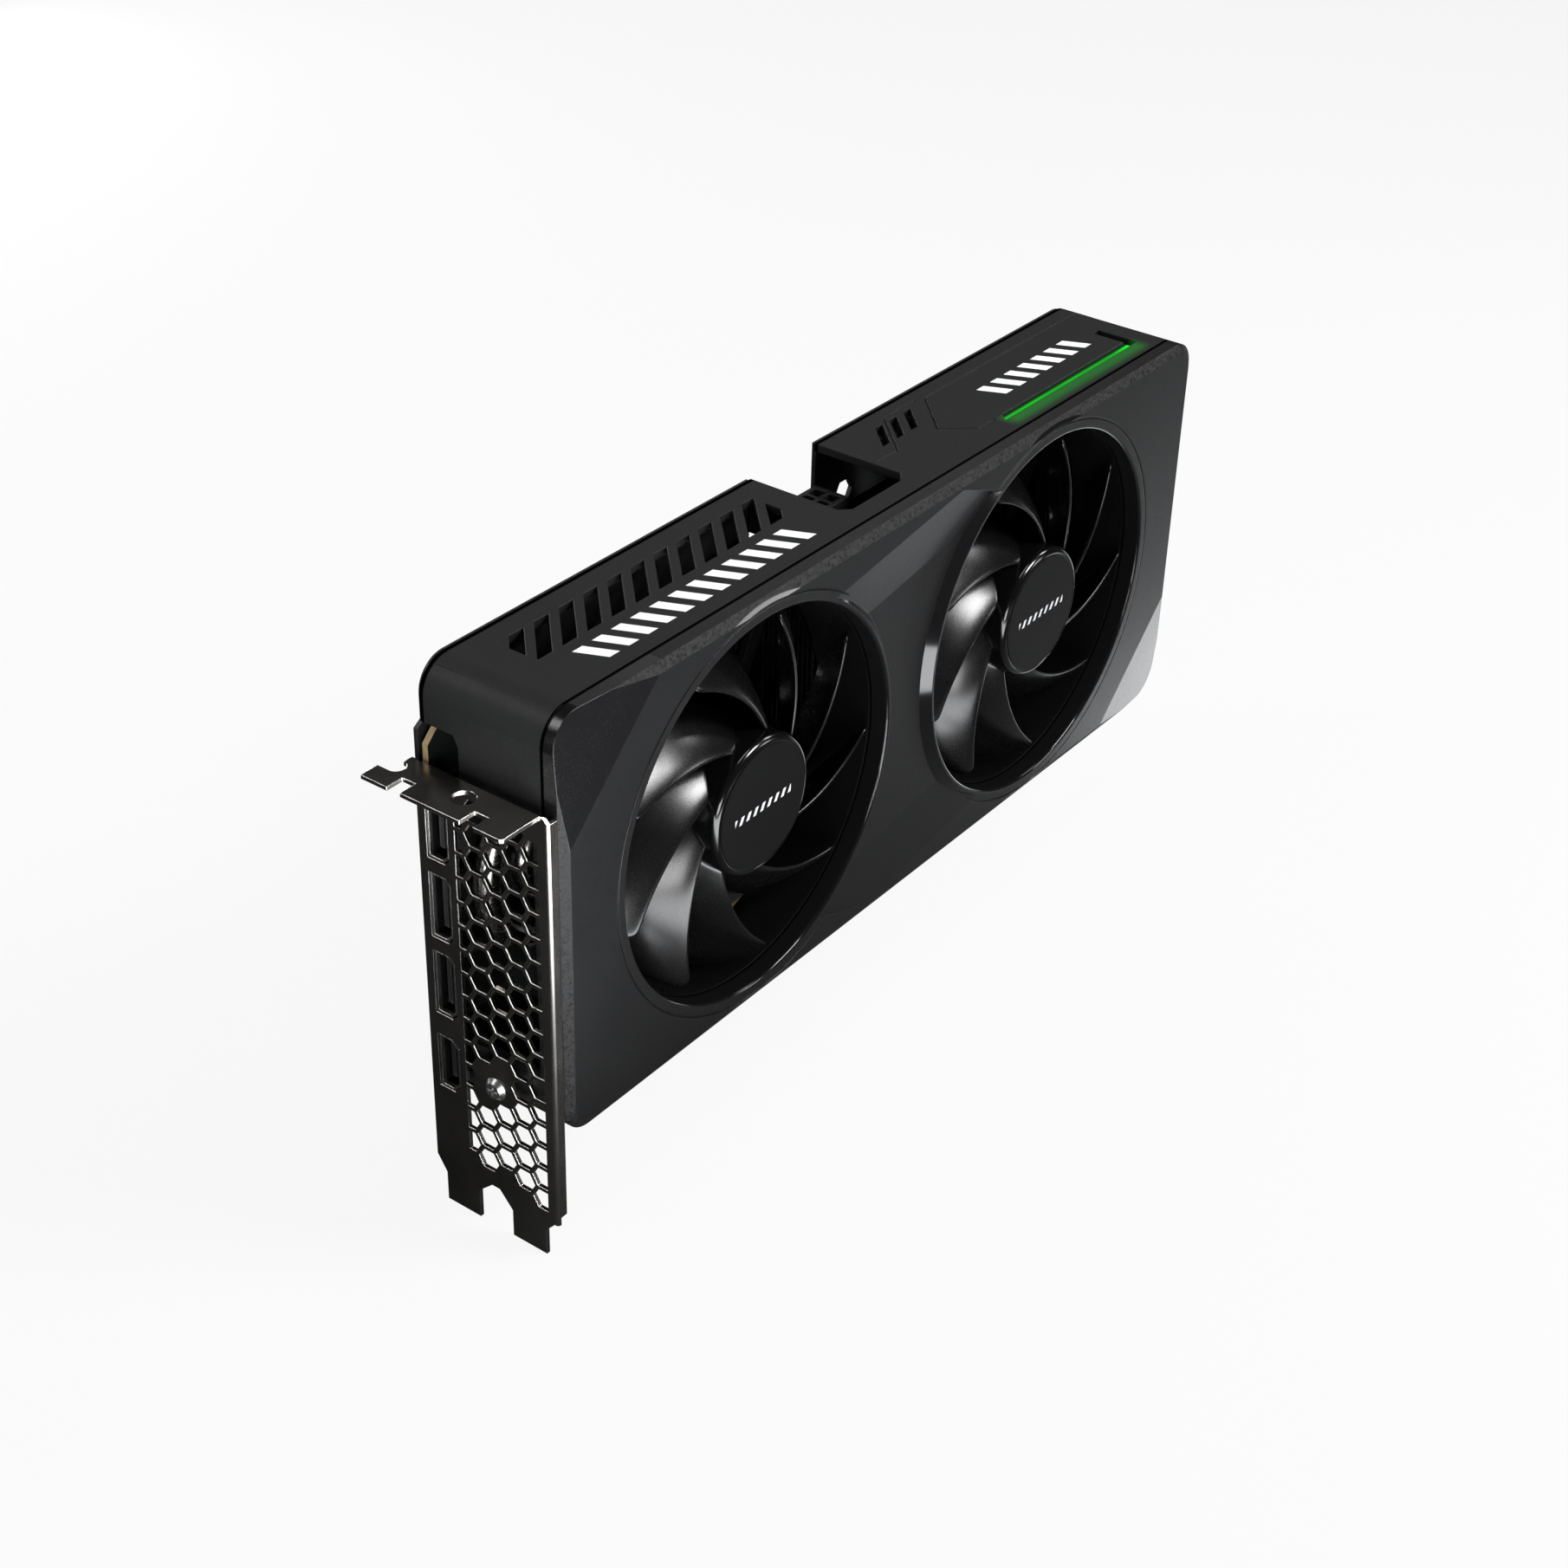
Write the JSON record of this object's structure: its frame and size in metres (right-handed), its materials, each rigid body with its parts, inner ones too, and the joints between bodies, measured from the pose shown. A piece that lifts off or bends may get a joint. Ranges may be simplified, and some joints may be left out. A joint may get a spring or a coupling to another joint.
{
  "type": "graphics card",
  "caption": "Two-slot computer graphics card with a pair of open fans, metal slot bracket with video sockets, and a lit strip in its roof.",
  "frame": {"origin": "centre of the round screw hole in the bracket's tab, on the tab's seating underside", "axes": "+X from the bracket to the tail along the card's length, +Y from the fans to the back plate, +Z from the card edge to the roof"},
  "size_m": [0.2704, 0.0426, 0.1414],
  "materials": {
    "bracket_steel": "satin nickel plated",
    "port_shell": "satin plated",
    "insert_plastic": "moulded",
    "board": "black solder mask",
    "gold": "bright plated",
    "package": "moulded",
    "silicon": "polished",
    "pad_rubber": "soft",
    "choke": "pressed powder",
    "can": "bright",
    "copper": "machined",
    "nickel_pipe": "nickel plated",
    "fins": "rolled",
    "screw_steel": "bright",
    "screw_black": "blackened",
    "plate_black": "satin",
    "frame_black": "fine grained",
    "shroud_black": "fine grained",
    "fan_black": "satin gloss",
    "light_guide": "lit from behind",
    "bearing_brass": "sintered",
    "magnet": "bonded",
    "label_film": "printed film"
  },
  "bodies": {
    "card": {"io_bracket": "bracket_steel", "displayport_1": "port_shell", "displayport_2": "port_shell", "displayport_3": "port_shell", "hdmi_port": "port_shell", "displayport_tongues": "insert_plastic", "hdmi_tongue": "insert_plastic", "pcb": "board", "edge_contacts": "gold", "gpu_package": "package", "gpu_die": "silicon", "memory_chips": "package", "thermal_pads": "pad_rubber", "power_chokes": "choke", "power_switches": "package", "capacitors": "can", "power_connector": "insert_plastic", "power_pins": "gold", "fan_headers": "insert_plastic", "cold_plate": "copper", "heatpipe_outer": "nickel_pipe", "heatpipe_inner": "nickel_pipe", "fin_stack_main": "fins", "fin_stack_tail": "fins", "retention_plate": "bracket_steel", "retention_screws": "screw_steel", "backplate": "plate_black", "backplate_screws": "screw_black", "top_frame": "frame_black", "shroud_screws": "screw_black", "bracket_screw": "screw_steel", "led_light_guide": "light_guide", "led_board": "board", "front_shroud": "shroud_black", "fan_1_mount": "frame_black", "fan_1_stator": "choke", "fan_1_bearing": "bearing_brass", "fan_2_mount": "frame_black", "fan_2_stator": "choke", "fan_2_bearing": "bearing_brass"},
    "fan_1": {"fan_1_rotor": "fan_black", "fan_1_shaft": "screw_steel", "fan_1_magnet": "magnet", "fan_1_label": "label_film"},
    "fan_2": {"fan_2_rotor": "fan_black", "fan_2_shaft": "screw_steel", "fan_2_magnet": "magnet", "fan_2_label": "label_film"}
  },
  "joints": [
    {"name": "fan_1_spin", "type": "hinge", "parent": "card", "child": "fan_1", "pos_m": [0.0766, -0.0074, -0.0316], "axis": [0, 1, 0], "continuous": true},
    {"name": "fan_2_spin", "type": "hinge", "parent": "card", "child": "fan_2", "pos_m": [0.1948, -0.0074, -0.0316], "axis": [0, 1, 0], "continuous": true}
  ]
}
